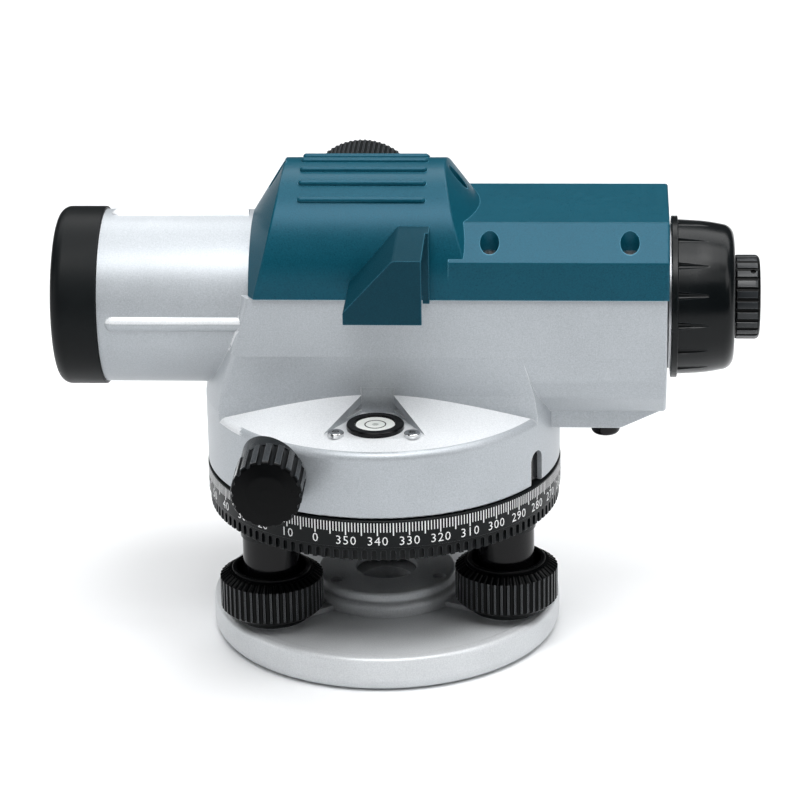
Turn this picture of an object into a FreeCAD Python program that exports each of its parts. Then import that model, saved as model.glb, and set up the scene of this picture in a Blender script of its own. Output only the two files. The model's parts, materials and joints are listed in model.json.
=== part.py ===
import FreeCAD, Part
import math
import os

# Automatic level, millimetres. +Z is up, +X points to the eyepiece, -X to the objective.
# The origin is the tripod thread's axis at the underside of the base plate.

V = FreeCAD.Vector
ALONG_X = V(1, 0, 0)
ALONG_Y = V(0, 1, 0)
ALONG_Z = V(0, 0, 1)

# Base plate and tripod thread
THREAD_R = 7.94
BASE_R = 54.8
BASE_TOP = 11.3
DISH_TOP = 10.8
HUB_R = 20.0
HUB_TOP = 14.0

# Footscrews: three, on one circle, 120 degrees apart
FOOT_CIRCLE = 42.2
FOOT_ANGLES = (-24.0, 216.0, 96.0)
BALL_R = 4.8
BALL_Z = 7.5
SOCKET_R = 5.0
SCREW_R = 4.0
SCREW_BORE_R = 4.08
KNOB_R = 16.0
KNOB_Z0 = 15.2
KNOB_Z1 = 28.2
KNOB_RIBS = 48

# Spring plate over the base plate's hub
DOME_R = 24.4
DOME_TOP = 18.0
DOME_WALL = 1.4
DOME_HOLE_R = 9.5
DOME_SHOULDER_R = 22.0
DOME_RIM = 15.2
DOME_SCREW_CIRCLE = 18.7

# Tribrach and the vertical axis
TRIBRACH_Z0 = 40.0
TRIBRACH_Z1 = 47.0
TRIBRACH_HUB_R = 29.7
TRIBRACH_HUB_TOP = 56.0
SPINDLE_R = 10.95
BUSH_R = 11.0
BUSH_OUTER_R = 16.0
BUSH_TOP = 76.0

# Graduated circle
CIRCLE_R = 55.2
CIRCLE_WALL_R = 52.5
CIRCLE_Z0 = 44.0
CIRCLE_Z1 = 57.3
KNURL_TOP = 48.4
KNURL_TEETH = 120

# Housing: round drum, conical platform, upright walls, tube and rear box
DRUM_R = 55.0
DRUM_INNER_R = 51.5
DRUM_Z0 = 57.8
RIM_R = 52.5
RIM_Z = 79.0
CONE_SLOPE = 0.28
NECK_Z = (80.0, 108.5, 137.0)
NECK_R = (55.0, 50.0, 42.0)
WALL_Y = 28.0
WALL_FOOT_Y = 26.0
WALL_FOOT_Z = 86.0
CREASE_Z = 99.4
SPLIT_Z = 118.0
SHELL = 2.5
FIT = 0.05
TUBE_Z = 109.1
TUBE_R = 26.6
TUBE_INNER_R = 24.0
TUBE_X0 = -84.6
TUBE_X1 = -24.0
REAR_X0 = 37.0
REAR_X1 = 87.5
CHIN_Y = 16.0
CHIN_Z = 72.0
INDEX_ANGLE = -28.6

# Circular bubble on the near side of the platform
BUBBLE_Y = -38.0
SEAT_Z = 80.5
BUBBLE_RING_R = 8.7
BUBBLE_SCREW_CIRCLE = 13.3
BUBBLE_SCREW_ANGLES = (210.0, 330.0)

# Tangent drive
TANGENT_X = -30.7
TANGENT_Z = 70.3
TANGENT_KNOB_R = 10.7
TANGENT_KNOB_Y0 = 51.5
TANGENT_KNOB_Y1 = 67.5

# Top cover
COVER_Y = 29.0
COVER_WALL = 2.0
GASKET_T = 0.4
COVER_X0 = -38.5
COVER_X1 = 88.0
SHOULDER_Z = 129.8
ROOF_Z = 139.3
ROOF_Y = 19.0
ROOF_X0 = 22.0
ARCH_Z = 123.3
ARCH_R = 29.0
COVER_FOOT_X = -36.9
FRONT_X = -38.9
FRONT_SPREAD = 1.6
HUMP_X1 = 30.7
HUMP_REAR_R = 30.1
HUMP_REAR_SLOPE = 0.8
COVER_SCREWS = ((34.3, 24.0), (76.1, 24.0), (34.3, -24.0), (76.1, -24.0))
FRONT_SCREW_X = -31.0
REAR_SCREW_X = 24.0

# Mirror hood over the bubble
HOOD_X0 = -7.7
HOOD_X1 = 15.4
HOOD_TOP_X = 7.0
HOOD_Z0 = 120.0
HOOD_LIP_Z = 123.7
HOOD_Z1 = 139.7
HOOD_Y = -56.0
HOOD_WALL = 1.6

# Focus drive
FOCUS_X = -8.0
FOCUS_Z = 127.3
FOCUS_KNOB_R = 18.2
PINION_R = 3.2
CARRIAGE_X0 = -28.0
CARRIAGE_X1 = -17.0
ROD_Y = 18.0
ROD_Z = 103.0

# Eyepiece end
BELL_X0 = 88.8
BELL_X1 = 108.0
BELL_FLANGE_R = 24.8
BELL_R0 = 23.7
BELL_R1 = 21.6
EYE_R = 12.9
EYE_X0 = 108.5
EYE_X1 = 115.9
EYE_MARK_ANGLE = 33.5
BARREL_R = 10.0
BARREL_INNER_R = 8.2

BUTTON_X = 69.2
BUTTON_R = 4.5


def box(x0, x1, y0, y1, z0, z1):
    return Part.makeBox(x1 - x0, y1 - y0, z1 - z0, V(x0, y0, z0))


def rod(radius, start, direction, length):
    return Part.makeCylinder(radius, length, V(*start), direction)


def ring(outer, inner, start, direction, length):
    return rod(outer, start, direction, length).cut(rod(inner, start, direction, length))


def fuse(first, *others):
    return first.multiFuse(list(others)).removeSplitter()


def mirrored(shape):
    """The same shape on the other side of the telescope."""
    return shape.mirror(V(0, 0, 0), ALONG_Y)


def polar(radius, angle, z=0.0):
    a = math.radians(angle)
    return V(radius * math.cos(a), radius * math.sin(a), z)


def repeated(shape, count, centre, axis, first=0.0):
    """Copies of a shape, evenly spaced about an axis."""
    copies = []
    for i in range(count):
        copy = shape.copy()
        copy.rotate(centre, axis, first + 360.0 * i / count)
        copies.append(copy)
    return copies


def rounded_corner(before, point, after, radius):
    """Start, middle and end of the arc that rounds one corner of an outline."""
    back = (before - point).normalize()
    ahead = (after - point).normalize()
    half = back.getAngle(ahead) / 2
    bisector = (back + ahead).normalize()
    reach = radius / math.tan(half)
    middle = point + bisector * (radius / math.sin(half) - radius)
    return point + back * reach, middle, point + ahead * reach


def outline(points, place):
    """A closed face; each point is (u, v) or (u, v, corner radius), and place(u, v) puts it in space."""
    corners = [place(p[0], p[1]) for p in points]
    radii = [p[2] if len(p) > 2 else 0.0 for p in points]
    edges = []
    ends = []
    for i, corner in enumerate(corners):
        if radii[i]:
            after = corners[(i + 1) % len(corners)]
            start, middle, end = rounded_corner(corners[i - 1], corner, after, radii[i])
            edges.append(Part.Arc(start, middle, end).toShape())
            ends.append((start, end))
        else:
            ends.append((corner, corner))
    for i in range(len(corners)):
        leave = ends[i - 1][1]
        arrive = ends[i][0]
        edges.append(Part.makeLine(leave, arrive))
    return Part.Face(Part.Wire(Part.__sortEdges__(edges)))


def turned(points, centre=V(0, 0, 0), axis=ALONG_Z):
    """A turned solid; points are (radius, height along the axis, corner radius)."""
    if axis == ALONG_Z:
        face = outline(points, lambda r, h: centre + V(r, 0, h))
    elif axis == ALONG_X:
        face = outline(points, lambda r, h: centre + V(h, 0, r))
    else:
        face = outline(points, lambda r, h: centre + V(r, h, 0))
    return face.revolve(centre, axis, 360)


def extruded_x(points, x0, x1):
    """A bar along X; points are (y, z, corner radius)."""
    return outline(points, lambda y, z: V(x0, y, z)).extrude(V(x1 - x0, 0, 0))


def extruded_y(points, y0, y1):
    """A bar along Y; points are (x, z, corner radius)."""
    return outline(points, lambda x, z: V(x, y0, z)).extrude(V(0, y1 - y0, 0))


def extruded_z(points, z0, z1):
    """A bar along Z; points are (x, y, corner radius)."""
    return outline(points, lambda x, y: V(x, y, z0)).extrude(V(0, 0, z1 - z0))


def rounded(shape, radius, wanted):
    """The shape with every edge rounded whose bounding box and length pass a test."""
    edges = [edge for edge in shape.Edges if wanted(edge.BoundBox, edge.Length)]
    return shape.makeFillet(radius, edges)


def save(name, *solids):
    shape = solids[0] if len(solids) == 1 else Part.makeCompound(list(solids))
    shape.exportStep("parts/" + name + ".step")


def feet():
    return [polar(FOOT_CIRCLE, angle) for angle in FOOT_ANGLES]


def pan_screw(head_r, head_h, shank_r, shank_l, place):
    """A small screw along -Z with a rounded head and a hexagon socket; place is under the head."""
    edge = min(0.5, head_h / 3)
    profile = [
        (0, -shank_l), (shank_r, -shank_l), (shank_r, 0), (head_r, 0), (head_r, head_h, edge), (0, head_h),
    ]
    screw = turned(profile)
    socket_r = head_r * 0.5
    hexagon = [(p.x, p.y) for p in (polar(socket_r, 60 * i) for i in range(6))]
    screw = screw.cut(extruded_z(hexagon, head_h * 0.35, head_h + 1))
    screw.translate(place)
    return screw


def make_base_plate():
    profile = [
        (THREAD_R, 0), (BASE_R, 0, 4.0), (BASE_R, BASE_TOP, 1.5), (BASE_R - 3.3, BASE_TOP, 0.6),
        (BASE_R - 4.5, DISH_TOP, 0.6), (HUB_R, DISH_TOP), (HUB_R, HUB_TOP, 1.0), (THREAD_R, HUB_TOP),
    ]
    plate = turned(profile)
    cutters = []
    for foot in feet():
        cutters.append(Part.makeSphere(SOCKET_R, V(foot.x, foot.y, BALL_Z)))
        cutters.append(rod(SOCKET_R, (foot.x, foot.y, BALL_Z), ALONG_Z, BASE_TOP))
    for angle in FOOT_ANGLES:
        cutters.append(rod(1.25, polar(DOME_SCREW_CIRCLE, angle, 6.0), ALONG_Z, 20))
    return plate.cut(cutters)


def make_spring_plate():
    arm_top = 12.4
    low = DISH_TOP + 0.1
    under = DOME_TOP - DOME_WALL
    profile = [
        (DOME_HOLE_R, under), (DOME_HOLE_R, DOME_TOP, 0.5), (DOME_SHOULDER_R, DOME_TOP, 1.0),
        (DOME_SHOULDER_R + 0.3, DOME_RIM, 0.7), (DOME_R, DOME_RIM, 1.6), (DOME_R, low),
        (DOME_R - DOME_WALL, low), (DOME_R - DOME_WALL, DOME_RIM - DOME_WALL, 0.6),
        (DOME_SHOULDER_R - 0.9, DOME_RIM - DOME_WALL), (DOME_SHOULDER_R - 1.1, under),
    ]
    dome = turned(profile)
    arms = []
    for angle in FOOT_ANGLES:
        arm = box(DOME_R - 1.2, FOOT_CIRCLE, -6.0, 6.0, DISH_TOP + 0.1, arm_top)
        arm = arm.fuse(rod(9.0, (FOOT_CIRCLE, 0, DISH_TOP + 0.1), ALONG_Z, arm_top - DISH_TOP - 0.1))
        arm = arm.cut(rod(4.3, (FOOT_CIRCLE, 0, 0), ALONG_Z, 30))
        arm.rotate(V(0, 0, 0), ALONG_Z, angle)
        arms.append(arm)
    holes = [rod(2.05, polar(DOME_SCREW_CIRCLE, angle, 12), ALONG_Z, 10) for angle in FOOT_ANGLES]
    return fuse(dome, *arms).cut(holes)


def make_spring_plate_screws():
    return [pan_screw(1.95, 2.6, 1.25, 6.0, polar(DOME_SCREW_CIRCLE, a, HUB_TOP)) for a in FOOT_ANGLES]


def make_foot_pads():
    profile = [(5.0, 12.4), (11.5, 12.4, 0.4), (11.5, 14.4, 0.9), (5.0, 14.4, 0.4)]
    return [turned(profile, foot) for foot in feet()]


def make_footscrew_screw(foot):
    ball = Part.makeSphere(BALL_R, V(0, 0, BALL_Z))
    profile = [(0, BALL_Z), (2.8, BALL_Z), (2.8, 14.8), (SCREW_R, 15.6), (SCREW_R, 48.0, 0.8), (0, 48.0)]
    screw = fuse(ball, turned(profile))
    screw.translate(foot)
    return screw


def make_footscrew_knob(foot):
    lip_r = 12.2
    recess_r = 10.8
    shoulder_r = 13.3
    shoulder_z = KNOB_Z1 - 1.8
    profile = [
        (SCREW_R + FIT, KNOB_Z0), (KNOB_R - 1.3, KNOB_Z0), (KNOB_R, KNOB_Z0 + 1.3), (KNOB_R, shoulder_z),
        (shoulder_r, KNOB_Z1), (lip_r, KNOB_Z1), (lip_r, KNOB_Z1 + 1.0, 0.4),
        (recess_r, KNOB_Z1 + 1.0, 0.4), (recess_r, 20.5), (SCREW_R + FIT, 20.5),
    ]
    knob = turned(profile)
    side = V(KNOB_R + 0.15, 0, shoulder_z)
    inward = V(shoulder_r - KNOB_R, 0, KNOB_Z1 - shoulder_z)
    groove = rod(0.76, (side.x, 0, KNOB_Z0 - 1), ALONG_Z, side.z - KNOB_Z0 + 1)
    groove = fuse(groove, Part.makeSphere(0.76, side), rod(0.76, side, inward, inward.Length + 0.3))
    knob = knob.cut(repeated(groove, KNOB_RIBS, V(0, 0, 0), ALONG_Z))
    knob.translate(foot)
    return knob


def make_tribrach_body():
    hub_profile = [
        (SPINDLE_R, TRIBRACH_Z0), (TRIBRACH_HUB_R, TRIBRACH_Z0, 1.0),
        (TRIBRACH_HUB_R, TRIBRACH_HUB_TOP, 0.8),
        (SPINDLE_R, TRIBRACH_HUB_TOP),
    ]
    hub = turned(hub_profile)
    arms = []
    for foot in feet():
        arms.append(rod(9.2, (foot.x, foot.y, TRIBRACH_Z0), ALONG_Z, TRIBRACH_Z1 - TRIBRACH_Z0))
    for angle in FOOT_ANGLES:
        arm = box(20, FOOT_CIRCLE, -9.0, 9.0, TRIBRACH_Z0 + 0.5, TRIBRACH_Z1 - 0.5)
        arm.rotate(V(0, 0, 0), ALONG_Z, angle)
        arms.append(arm)
    bores = [rod(SCREW_BORE_R, (foot.x, foot.y, 30), ALONG_Z, 30) for foot in feet()]
    flange_seat = rod(17.0, (0, 0, TRIBRACH_Z0), ALONG_Z, 4.0)
    return fuse(hub, *arms).cut(bores + [flange_seat])


def make_footscrew_sleeves():
    profile = [(5.2, 23.0), (8.7, 23.0, 0.5), (8.7, TRIBRACH_Z0), (5.2, TRIBRACH_Z0)]
    return [turned(profile, foot) for foot in feet()]


def make_centre_spindle():
    profile = [
        (0, TRIBRACH_Z0), (17.0, TRIBRACH_Z0), (17.0, TRIBRACH_Z0 + 4), (SPINDLE_R, TRIBRACH_Z0 + 4),
        (SPINDLE_R, BUSH_TOP + 0.1), (6.0, BUSH_TOP + 0.1), (6.0, BUSH_TOP + 3, 0.6), (0, BUSH_TOP + 3),
    ]
    return turned(profile)


def make_spindle_washer():
    return ring(15.0, 6.0, (0, 0, BUSH_TOP + 0.1), ALONG_Z, 1.9)


def make_graduated_circle():
    profile = [
        (TRIBRACH_HUB_R + 0.3, 50.0), (CIRCLE_WALL_R, 50.0), (CIRCLE_WALL_R, CIRCLE_Z0),
        (CIRCLE_R - 0.5, CIRCLE_Z0, 0.5), (CIRCLE_R - 0.5, KNURL_TOP), (CIRCLE_R, KNURL_TOP, 0.2),
        (CIRCLE_R, CIRCLE_Z1, 0.5), (CIRCLE_WALL_R, CIRCLE_Z1), (CIRCLE_WALL_R, 53.0),
        (TRIBRACH_HUB_R + 0.3, 53.0),
    ]
    body = turned(profile)
    half = 0.8
    slot_points = [(-half, 43.0), (half, 43.0), (half, 47.6, 0.75), (-half, 47.6, 0.75)]
    slot = outline(slot_points, lambda y, z: V(CIRCLE_R - 1.6, y, z)).extrude(V(4, 0, 0))
    return body.cut(repeated(slot, KNURL_TEETH, V(0, 0, 0), ALONG_Z))


def cone_height(radius):
    """Height of the platform's sloping top at a distance from the vertical axis."""
    return RIM_Z + CONE_SLOPE * (RIM_R - radius)


def drum_solid(inset):
    """The round drum with its conical top; inset makes the inner space."""
    radius = DRUM_R if inset == 0 else DRUM_INNER_R
    low = DRUM_Z0 - (1.0 if inset else 0.0)
    edge = 2.5 if inset == 0 else 1.0
    profile = [
        (0, low), (radius, low, 0.6), (radius, cone_height(radius) - inset, edge),
        (20, cone_height(20) - inset), (0, cone_height(20) - inset),
    ]
    return turned(profile)


def neck_solid(inset):
    """The body of revolution about the vertical axis that ends the walls at the front and rear."""
    start = V(NECK_R[0] - inset, 0, NECK_Z[0])
    middle = V(NECK_R[1] - inset, 0, NECK_Z[1])
    end = V(NECK_R[2] - inset, 0, NECK_Z[2])
    low = V(NECK_R[0] - inset, 0, 70)
    edges = [
        Part.makeLine(V(0, 0, 70), low), Part.makeLine(low, start), Part.Arc(start, middle, end).toShape(),
        Part.makeLine(end, V(0, 0, end.z)), Part.makeLine(V(0, 0, end.z), V(0, 0, 70)),
    ]
    return Part.Face(Part.Wire(edges)).revolve(V(0, 0, 0), ALONG_Z, 360)


def wall_solid(inset, top):
    """The upright body between the two side walls, which lean in below the crease."""
    foot = WALL_FOOT_Y - inset
    wide = WALL_Y - inset
    corner = 1.5 if inset == 0 else 0
    points = [
        (foot, 70), (foot, WALL_FOOT_Z), (wide, CREASE_Z, corner), (wide, top), (-wide, top),
        (-wide, CREASE_Z, corner), (-foot, WALL_FOOT_Z), (-foot, 70),
    ]
    return extruded_x(points, -60, 60).common(neck_solid(inset))


def rear_box_solid(inset, x0, x1, top):
    """The square rear end with its rounded underside."""
    right = [(28 - inset, top), (28 - inset, 99, 2), (26.5 - inset, 91, 8), (24.0 - inset, 85, 6),
             (17 - inset, 77.5 + inset, 5)]
    left = [(-p[0],) + tuple(p[1:]) for p in reversed(right)]
    return extruded_x(right + left, x0, x1)


def chin_solid():
    points = [(44, 80), (44, CHIN_Z), (73.7, CHIN_Z, 2.5), (85.5, 77.5), (85.5, 80)]
    return extruded_y(points, -CHIN_Y, CHIN_Y)


def chin_hollow():
    points = [(52, 85), (52, CHIN_Z + 2), (73.5, CHIN_Z + 2), (82, 78), (82, 85)]
    return extruded_y(points, -CHIN_Y + 3, CHIN_Y - 3)


def tube_ribs():
    """Four low rounded ribs along the tube, each with a round front end."""
    height = 1.2
    radius = 2.7
    x0 = -80.1
    centre_z = TUBE_Z + TUBE_R + height - radius
    ribs = []
    for angle in (0, 90, 180, 270):
        rib = rod(radius, (x0, 0, centre_z), ALONG_X, -40.0 - x0)
        rib = rib.fuse(Part.makeSphere(radius, V(x0, 0, centre_z)))
        rib.rotate(V(0, 0, TUBE_Z), ALONG_X, angle)
        ribs.append(rib)
    return ribs


def bubble_pocket(grow, z0, z1):
    """A three-lobed prism around the bubble: a lobe at each of its screws and one towards the wall."""
    reach = BUBBLE_SCREW_CIRCLE + 2 * (3.6 + grow)
    corners = []
    for angle in (90, 210, 330):
        p = polar(reach, angle)
        corners.append((p.x, p.y + BUBBLE_Y, 3.6 + grow))
    return extruded_z(corners, z0, z1)


def on_wall_corner(b, length):
    """Whether an edge is the front corner between a side wall and the round neck."""
    beside = abs(b.Center.y) > WALL_FOOT_Y - 0.1 and b.YMax - b.YMin < 2.2
    return b.XMax < -38 and beside and b.ZMin > RIM_Z and length > 2


def housing_outside():
    """The housing's outer form, with rounded wall corners and rear end."""
    body = fuse(
        drum_solid(0), wall_solid(0, SPLIT_Z), rear_box_solid(0, REAR_X0, REAR_X1, SPLIT_Z), chin_solid(),
        rod(TUBE_R, (TUBE_X0, 0, TUBE_Z), ALONG_X, -35 - TUBE_X0))
    body = rounded(body, 2.0, on_wall_corner)
    body = rounded(body, 1.0, lambda b, length: b.XMin > REAR_X1 - 0.1 and b.ZMax < SPLIT_Z - 0.1)
    return fuse(body, *tube_ribs())


def make_main_housing():
    outside = housing_outside()
    inside = [
        drum_solid(2.6), wall_solid(SHELL, SPLIT_Z + 20),
        rear_box_solid(SHELL, 30, REAR_X1 - SHELL, SPLIT_Z + 5),
        chin_hollow(),
    ]
    tube = rod(TUBE_R, (TUBE_X0, 0, TUBE_Z), ALONG_X, TUBE_X1 - TUBE_X0)
    shell = outside.cut(inside)
    posts = [rod(3.9, (x, y, 104), ALONG_Z, SPLIT_Z - 104) for x, y in COVER_SCREWS]
    pocket_back = box(-9, 9, -WALL_FOOT_Y, -WALL_FOOT_Y + SHELL, 77.0, WALL_FOOT_Z)
    pocket_floor = bubble_pocket(1.6, 77.0, SEAT_Z + 1).common(drum_solid(0))
    shell = fuse(shell, tube, pocket_floor, pocket_back, *posts)
    above = box(COVER_FOOT_X, 100, -40, 40, SPLIT_Z - GASKET_T, 160)
    above = above.cut(rod(TUBE_R, (-60, 0, TUBE_Z), ALONG_X, 60))
    pocket = bubble_pocket(0, SEAT_Z, 89.0).cut(box(-20, 20, -WALL_FOOT_Y, 0, 70, 95))
    cutters = [
        above, rod(TUBE_INNER_R, (TUBE_X0 - 1, 0, TUBE_Z), ALONG_X, TUBE_X1 - TUBE_X0 + 2),
        pocket, rod(7.5, (0, BUBBLE_Y, 70), ALONG_Z, 15),
        rod(6.0, (TANGENT_X, -60, TANGENT_Z), ALONG_Y, 120),
        rod(BARREL_R + FIT, (80, 0, TUBE_Z), ALONG_X, 10),
        rod(BUTTON_R + 0.06, (BUTTON_X, 0, 60), ALONG_Z, 20), index_slot(),
    ]
    for angle in BUBBLE_SCREW_ANGLES:
        p = polar(BUBBLE_SCREW_CIRCLE, angle)
        cutters.append(rod(1.0, (p.x, p.y + BUBBLE_Y, 74), ALONG_Z, 10))
    for x, y in COVER_SCREWS:
        cutters.append(rod(1.5, (x, y, 108), ALONG_Z, 12))
    return shell.cut(cutters)


def index_slot():
    half = 3.3
    points = [(-half, 50), (half, 50), (half, 68.5, half - 0.05), (-half, 68.5, half - 0.05)]
    slot = outline(points, lambda y, z: V(DRUM_INNER_R - 2, y, z)).extrude(V(8, 0, 0))
    slot.rotate(V(0, 0, 0), ALONG_Z, INDEX_ANGLE)
    return slot


def make_circle_index():
    half = 3.2
    points = [
        (-half, 58.2), (-0.6, 58.2), (0, 57.9), (0.6, 58.2), (half, 58.2), (half, 68.4, 3.1),
        (-half, 68.4, 3.1),
    ]
    plate = outline(points, lambda y, z: V(DRUM_INNER_R + 0.2, y, z)).extrude(V(1.6, 0, 0))
    plate.rotate(V(0, 0, 0), ALONG_Z, INDEX_ANGLE)
    return plate


def make_housing_floor():
    floor = ring(DRUM_INNER_R - FIT, BUSH_OUTER_R + FIT, (0, 0, 58.0), ALONG_Z, 2.0)
    seats = [rod(2.2, polar(46, a, 57.0), ALONG_Z, 2.0) for a in (30, 150, 270)]
    holes = [rod(1.2 + FIT, polar(46, a, 57.0), ALONG_Z, 4.0) for a in (30, 150, 270)]
    return floor.cut(seats + holes)


def make_floor_screws():
    screws = []
    for angle in (30, 150, 270):
        screw = pan_screw(2.1, 0.9, 1.2, 1.0, V(0, 0, 0))
        screw.rotate(V(0, 0, 0), ALONG_X, 180)
        screw.translate(polar(46, angle, 59.0))
        screws.append(screw)
    return screws


def make_bearing_bush():
    profile = [
        (BUSH_R, 58.0), (BUSH_OUTER_R, 58.0), (BUSH_OUTER_R, 60.0), (22.0, 60.0), (22.0, 62.5, 0.5),
        (BUSH_OUTER_R, 62.5), (BUSH_OUTER_R, BUSH_TOP, 0.5), (BUSH_R, BUSH_TOP),
    ]
    return turned(profile)


def make_worm_wheel():
    wheel = ring(25.3, BUSH_OUTER_R + 0.3, (0, 0, 66.5), ALONG_Z, 7.5)
    tooth = rod(0.6, (25.4, 0, 66), ALONG_Z, 9)
    return wheel.cut(repeated(tooth, 60, V(0, 0, 0), ALONG_Z))


def make_tangent_shaft():
    profile = [(0, -60), (4.0, -60), (4.0, -10), (5.0, -9), (5.0, 9), (4.0, 10), (4.0, 60), (0, 60)]
    shaft = turned(profile, V(TANGENT_X, 0, TANGENT_Z), ALONG_Y)
    grooves = [ring(6.0, 4.3, (TANGENT_X, y, TANGENT_Z), ALONG_Y, 0.9) for y in range(-7, 8, 2)]
    return shaft.cut(grooves)


def make_tangent_bushes():
    collar = rod(10.0, (TANGENT_X, 36, TANGENT_Z), ALONG_Y, 15.2).cut(rod(DRUM_R, (0, 0, 50), ALONG_Z, 50))
    plug = rod(6.0, (TANGENT_X, 40, TANGENT_Z), ALONG_Y, 11.2)
    bush = fuse(collar, plug).cut(rod(4.06, (TANGENT_X, 30, TANGENT_Z), ALONG_Y, 30))
    return [bush, mirrored(bush)]


def make_tangent_knob():
    centre = V(TANGENT_X, 0, TANGENT_Z)
    profile = [
        (0, 60), (4.0, 60), (4.0, TANGENT_KNOB_Y0), (TANGENT_KNOB_R, TANGENT_KNOB_Y0, 0.8),
        (TANGENT_KNOB_R, 66.2, 1.2), (6.0, 67.2, 6.0), (2.0, TANGENT_KNOB_Y1), (0, TANGENT_KNOB_Y1),
    ]
    knob = turned(profile, centre, ALONG_Y)
    scallop = rod(0.95, (TANGENT_X + TANGENT_KNOB_R, 50, TANGENT_Z), ALONG_Y, 20)
    return knob.cut(repeated(scallop, 18, centre, ALONG_Y))


def arch_solid(radius, x0, x1, low):
    arch = rod(radius, (x0, 0, ARCH_Z), ALONG_X, x1 - x0)
    arch.rotate(V(0, 0, ARCH_Z), ALONG_X, 180)
    sides = box(x0, x1, -radius, radius, low, ARCH_Z)
    below = box(x0 - 1, x1 + 1, -60, 60, 60, low)
    return fuse(arch, sides).cut(below)


def hump_solid(inset):
    """The arched hump, cut off in front and behind by cones about the telescope's axis."""
    shift = inset * 1.2
    arch = arch_solid(ARCH_R - inset, FRONT_X, HUMP_X1 + 3, SPLIT_Z - inset)
    front_x = FRONT_X + shift
    length = 75.0
    front = Part.makeCone(TUBE_R, TUBE_R + length * FRONT_SPREAD, length, V(front_x, 0, TUBE_Z), ALONG_X)
    rear_x = HUMP_X1 - shift
    rear_r = HUMP_REAR_R + length / HUMP_REAR_SLOPE
    rear = Part.makeCone(rear_r, HUMP_REAR_R, length, V(rear_x - length, 0, TUBE_Z), ALONG_X)
    hump = arch.common(front).common(rear)
    ahead = box(FRONT_X - 5, COVER_X0 + inset, -40, 40, 100, 160)
    return hump.cut(ahead)


def roof_solid(inset, x0, x1):
    """The flat rear roof with its two sloping sides."""
    side = COVER_Y - inset
    shoulder = SHOULDER_Z - inset * 0.4
    roof = ROOF_Z - inset
    roof_y = ROOF_Y - inset * 0.4
    edge = 0.8 if inset == 0 else 0
    points = [
        (side, SPLIT_Z - inset), (side, shoulder, edge), (roof_y, roof, edge), (-roof_y, roof, edge),
        (-side, shoulder, edge), (-side, SPLIT_Z - inset),
    ]
    return extruded_x(points, x0, x1)


def hump_ribs():
    ribs = []
    x0 = -22.5
    x1 = 14.0
    for angle in (51, 64, 77, 90, 103, 116, 129):
        a = math.radians(angle)
        y = (ARCH_R + 0.15) * math.cos(a)
        z = ARCH_Z + (ARCH_R + 0.15) * math.sin(a)
        bar = rod(1.05, (x0, y, z), ALONG_X, x1 - x0)
        ribs += [fuse(bar, Part.makeSphere(1.05, V(x0, y, z)), Part.makeSphere(1.05, V(x1, y, z)))]
    return ribs


def on_hump_rear(b, length):
    """Whether an edge is on the rear end of the hump, above the rear box."""
    return b.XMin > 19 and b.XMax < HUMP_X1 and b.ZMin > SHOULDER_Z - 3 and length > 20


def cover_outside():
    """The cover's outer form, with rounded edges round the hump's ends and the rear end."""
    outside = fuse(hump_solid(0), roof_solid(0, ROOF_X0, COVER_X1))
    outside = rounded(outside, 0.7, lambda b, length: b.XMax < -20 and b.XMin > -36.5 and length > 5)
    outside = rounded(outside, 0.7, on_hump_rear)
    return rounded(outside, 0.8, lambda b, length: b.XMin > COVER_X1 - 0.1 and b.ZMax > SPLIT_Z + 1)


def make_top_cover():
    outside = cover_outside()
    inside = [hump_solid(COVER_WALL), roof_solid(COVER_WALL, 0, COVER_X1 - COVER_WALL)]
    posts = [rod(4.6, (x, y, SPLIT_Z), ALONG_Z, 30) for x, y in COVER_SCREWS]
    posts.append(rod(4.6, (FRONT_SCREW_X, 0, 136.6), ALONG_Z, 20))
    posts.append(rod(4.6, (REAR_SCREW_X, 0, 133), ALONG_Z, 20))
    posts = [post.common(outside) for post in posts]
    cover = fuse(outside.cut(inside), *posts, *hump_ribs())
    cutters = [
        rod(TUBE_R + 0.05, (-50, 0, TUBE_Z), ALONG_X, 25), rod(BARREL_R + 0.1, (80, 0, TUBE_Z), ALONG_X, 20),
        rod(6.0, (FOCUS_X, 20, FOCUS_Z), ALONG_Y, 15),
    ]
    for x, y in COVER_SCREWS:
        cutters.append(rod(2.9, (x, y, 129.6), ALONG_Z, 20))
        cutters.append(rod(1.5, (x, y, 110), ALONG_Z, 30))
    for x in (FRONT_SCREW_X, REAR_SCREW_X):
        cutters.append(rod(2.9, (x, 0, 140.0), ALONG_Z, 20))
        cutters.append(rod(1.5, (x, 0, 130), ALONG_Z, 20))
    return cover.cut(cutters)


def make_cover_screws():
    screws = [pan_screw(2.6, 2.0, 1.5, 18.0, V(x, y, 129.6)) for x, y in COVER_SCREWS]
    screws.append(pan_screw(2.6, 2.0, 1.5, 4.2, V(FRONT_SCREW_X, 0, 140.0)))
    screws.append(pan_screw(2.6, 2.0, 1.5, 9.5, V(REAR_SCREW_X, 0, 140.0)))
    return screws


def make_cover_gasket():
    outer = fuse(wall_solid(0.4, 125), rear_box_solid(0.4, REAR_X0, REAR_X1 - 0.4, 125))
    inner = fuse(wall_solid(SHELL - 0.1, 125), rear_box_solid(SHELL - 0.1, 30, REAR_X1 - SHELL + 0.1, 125))
    slice_box = box(COVER_FOOT_X + 0.1, 90, -40, 40, SPLIT_Z - GASKET_T, SPLIT_Z)
    gasket = outer.cut(inner).common(slice_box)
    holes = [rod(1.5, (x, y, 110), ALONG_Z, 20) for x, y in COVER_SCREWS]
    tube_way = rod(TUBE_R + 0.1, (-60, 0, TUBE_Z), ALONG_X, 40)
    barrel_way = rod(BARREL_R + 0.1, (80, 0, TUBE_Z), ALONG_X, 10)
    return gasket.cut([tube_way, barrel_way] + holes)


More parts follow.
